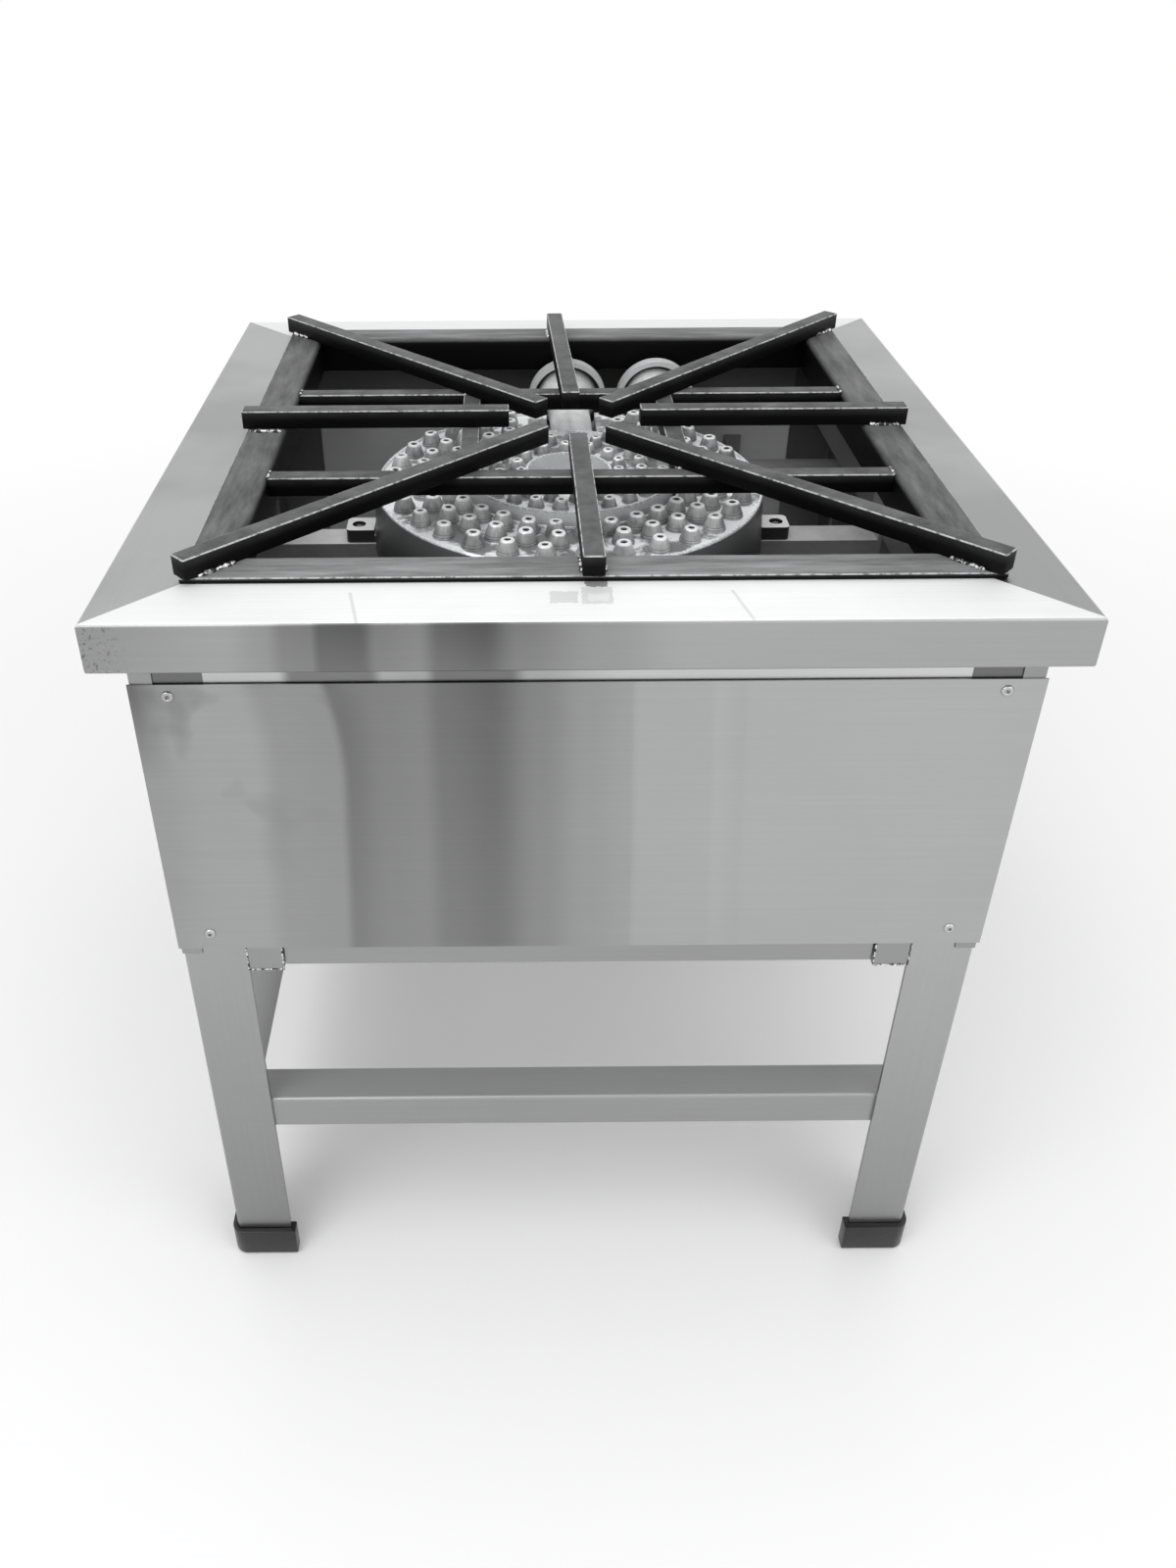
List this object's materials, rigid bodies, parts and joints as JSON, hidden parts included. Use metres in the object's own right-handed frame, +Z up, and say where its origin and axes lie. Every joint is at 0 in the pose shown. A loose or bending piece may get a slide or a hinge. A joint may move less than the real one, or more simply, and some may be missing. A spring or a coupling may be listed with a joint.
{
  "type": "stock pot range",
  "caption": "Low gas stock pot range: square angle-leg stand, deep-skirted steel top, loose bar grate over a two-ring jet burner, sliding drip tray.",
  "frame": {"origin": "middle of the footprint, on the floor", "axes": "+X right and +Z up, seen from the pictured blank side, which faces -Y; the controls face +Y"},
  "size_m": [0.6, 0.6, 0.644],
  "materials": {
    "stainless_top": "brushed stainless sheet, bright where it faces up",
    "stainless_body": "brushed stainless sheet",
    "stainless_frame": "dull brushed stainless angle",
    "black_rubber": "satin moulded rubber",
    "rivet_steel": "plain rivet heads",
    "zinc_steel": "dull bare steel",
    "bolt_steel": "dark oiled steel",
    "burner_casting": "silver-painted cast iron with bare machined rims",
    "jet_steel": "turned steel nipples",
    "shutter_steel": "plain steel disc",
    "brass": "machined brass",
    "supply_tube": "drawn aluminium tube",
    "gas_pipe": "grey painted steel pipe",
    "knob_plastic": "black heat-proof plastic",
    "black_paint": "matt black heat-proof paint over welded steel bar"
  },
  "bodies": {
    "stand": {"burner_cross_rail": "zinc_steel", "burner_locating_studs": "bolt_steel", "burner_side_rails": "zinc_steel", "control_panel": "stainless_body", "cross_rail_bolts": "bolt_steel", "foot_boot_front_left": "black_rubber", "foot_boot_front_right": "black_rubber", "foot_boot_rear_left": "black_rubber", "foot_boot_rear_right": "black_rubber", "front_panel": "stainless_body", "gas_manifold": "gas_pipe", "gas_valve_inner": "brass", "gas_valve_outer": "brass", "injector_inner": "brass", "injector_outer": "brass", "inner_burner_base": "burner_casting", "inner_burner_head": "burner_casting", "inner_jets": "jet_steel", "inner_mixing_tube": "burner_casting", "leg_front_left": "stainless_frame", "leg_front_right": "stainless_frame", "leg_rear_left": "stainless_frame", "leg_rear_right": "stainless_frame", "manifold_brackets": "zinc_steel", "manifold_plug": "gas_pipe", "outer_burner_base": "burner_casting", "outer_burner_head": "burner_casting", "outer_jets": "jet_steel", "outer_mixing_tube": "burner_casting", "panel_rivets": "rivet_steel", "side_panel_left": "stainless_body", "side_panel_right": "stainless_body", "stretcher_front": "stainless_frame", "stretcher_left": "stainless_frame", "stretcher_rear": "stainless_frame", "supply_tubes": "supply_tube", "top_strip_front": "stainless_top", "top_strip_left": "stainless_top", "top_strip_rear": "stainless_top", "top_strip_right": "stainless_top", "tray_runner_left": "stainless_frame", "tray_runner_right": "stainless_frame", "upper_rail_front": "stainless_frame", "upper_rail_left": "stainless_frame", "upper_rail_rear": "stainless_frame", "upper_rail_right": "stainless_frame"},
    "grate": {"grate_cross_bars": "black_paint", "grate_diagonal_bars": "black_paint", "grate_frame_front": "black_paint", "grate_frame_left": "black_paint", "grate_frame_rear": "black_paint", "grate_frame_right": "black_paint", "grate_straight_bars": "black_paint"},
    "tray": {"drip_tray": "stainless_body"},
    "inner_knob": {"knob_inner": "knob_plastic", "valve_stem_inner": "bolt_steel"},
    "outer_knob": {"knob_outer": "knob_plastic", "valve_stem_outer": "bolt_steel"},
    "inner_shutter": {"air_shutter_inner": "shutter_steel"},
    "outer_shutter": {"air_shutter_outer": "shutter_steel"}
  },
  "joints": [
    {"name": "grate_lift", "type": "slide", "parent": "stand", "child": "grate", "axis": [0, 0, 1], "range_m": [0, 0.15]},
    {"name": "tray_slide", "type": "slide", "parent": "stand", "child": "tray", "axis": [0, 1, 0], "range_m": [0, 0.45]},
    {"name": "inner_knob_turn", "type": "hinge", "parent": "stand", "child": "inner_knob", "pos_m": [0.008, 0.29, 0.5], "axis": [0, 1, 0], "range_deg": [0, 90]},
    {"name": "outer_knob_turn", "type": "hinge", "parent": "stand", "child": "outer_knob", "pos_m": [0.09, 0.29, 0.5], "axis": [0, 1, 0], "range_deg": [0, 90]},
    {"name": "inner_shutter_slide", "type": "slide", "parent": "stand", "child": "inner_shutter", "axis": [0, 1, 0], "range_m": [-0.0055, 0.0025]},
    {"name": "outer_shutter_slide", "type": "slide", "parent": "stand", "child": "outer_shutter", "axis": [0, 1, 0], "range_m": [-0.0055, 0.0025]}
  ]
}
